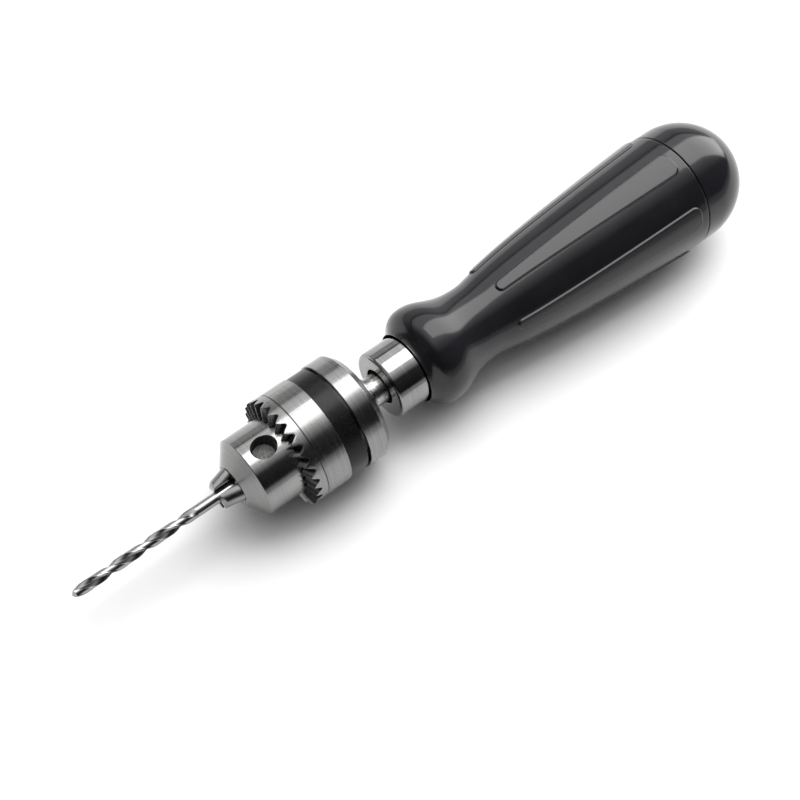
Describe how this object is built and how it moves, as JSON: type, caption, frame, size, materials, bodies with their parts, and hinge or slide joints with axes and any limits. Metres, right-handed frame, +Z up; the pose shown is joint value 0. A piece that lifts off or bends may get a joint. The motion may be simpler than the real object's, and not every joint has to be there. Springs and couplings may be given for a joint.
{
  "type": "hand drill",
  "caption": "Screwdriver-style hand drill: keyed three-jaw chuck with a twist bit on a steel spindle, moulded ribbed handle and a swivelling end cap.",
  "frame": {"origin": "middle of the tool's footprint, on the surface it lies on", "axes": "+X along the tool from the bit towards the end cap, +Z up, one key hole and one handle rib on top; the tool's own axis is 1.18 degrees off X because the handle is thicker than the chuck"},
  "size_m": [0.2168, 0.0346, 0.0353],
  "materials": {
    "chuck_steel": "turned and bright-ground steel with fine circumferential tool marks; one recessed band is blackened",
    "bit_steel": "bright ground high-speed steel",
    "hardened_steel": "hardened and ground, slightly darker than the chuck body",
    "zinc_plated_steel": "bright zinc plate, slightly uneven",
    "polished_steel": "polished, nearly mirror bright",
    "bush_bronze": "sintered bronze",
    "handle_plastic": "glossy dark charcoal moulded plastic"
  },
  "bodies": {
    "handle": {"handle_shell": "handle_plastic", "handle_end_plug": "handle_plastic", "pivot_bush": "bush_bronze", "ferrule": "polished_steel", "spindle": "zinc_plated_steel", "spindle_pin": "hardened_steel", "chuck_lock_screw": "hardened_steel", "chuck_body": "chuck_steel"},
    "sleeve": {"chuck_sleeve": "chuck_steel", "split_nut_half_a": "hardened_steel", "split_nut_half_b": "hardened_steel"},
    "jaw_1": {"jaw_1": "hardened_steel"},
    "jaw_2": {"jaw_2": "hardened_steel"},
    "jaw_3": {"jaw_3": "hardened_steel"},
    "bit": {"drill_bit": "bit_steel"},
    "cap": {"cap_shell": "handle_plastic", "cap_pivot_pin": "zinc_plated_steel", "thrust_washer": "zinc_plated_steel", "spring_washer": "zinc_plated_steel", "retaining_clip": "hardened_steel"}
  },
  "joints": [
    {"name": "sleeve_turn", "type": "hinge", "parent": "handle", "child": "sleeve", "pos_m": [-0.04258, 0, 0.01506], "axis": [-0.9998, 0, -0.0207], "range_deg": [0, 1566]},
    {"name": "jaw_1_slide", "type": "slide", "parent": "handle", "child": "jaw_1", "axis": [0.9582, -0.2387, 0.1577], "range_m": [0, 0.00545]},
    {"name": "jaw_2_slide", "type": "slide", "parent": "handle", "child": "jaw_2", "axis": [0.9668, 0, -0.2557], "range_m": [0, 0.00545]},
    {"name": "jaw_3_slide", "type": "slide", "parent": "handle", "child": "jaw_3", "axis": [0.9582, 0.2387, 0.1577], "range_m": [0, 0.00545]},
    {"name": "bit_slide", "type": "slide", "parent": "handle", "child": "bit", "axis": [-0.9998, 0, -0.0207], "range_m": [0, 0.024]},
    {"name": "cap_swivel", "type": "hinge", "parent": "handle", "child": "cap", "pos_m": [0.08605, 0, 0.01772], "axis": [0.9998, 0, 0.0207], "continuous": true}
  ],
  "couplings": [
    {"joint": "jaw_1_slide", "follows": "sleeve_turn", "m_per_rad": 0.00019894},
    {"joint": "jaw_2_slide", "follows": "sleeve_turn", "m_per_rad": 0.00019894},
    {"joint": "jaw_3_slide", "follows": "sleeve_turn", "m_per_rad": 0.00019894}
  ]
}
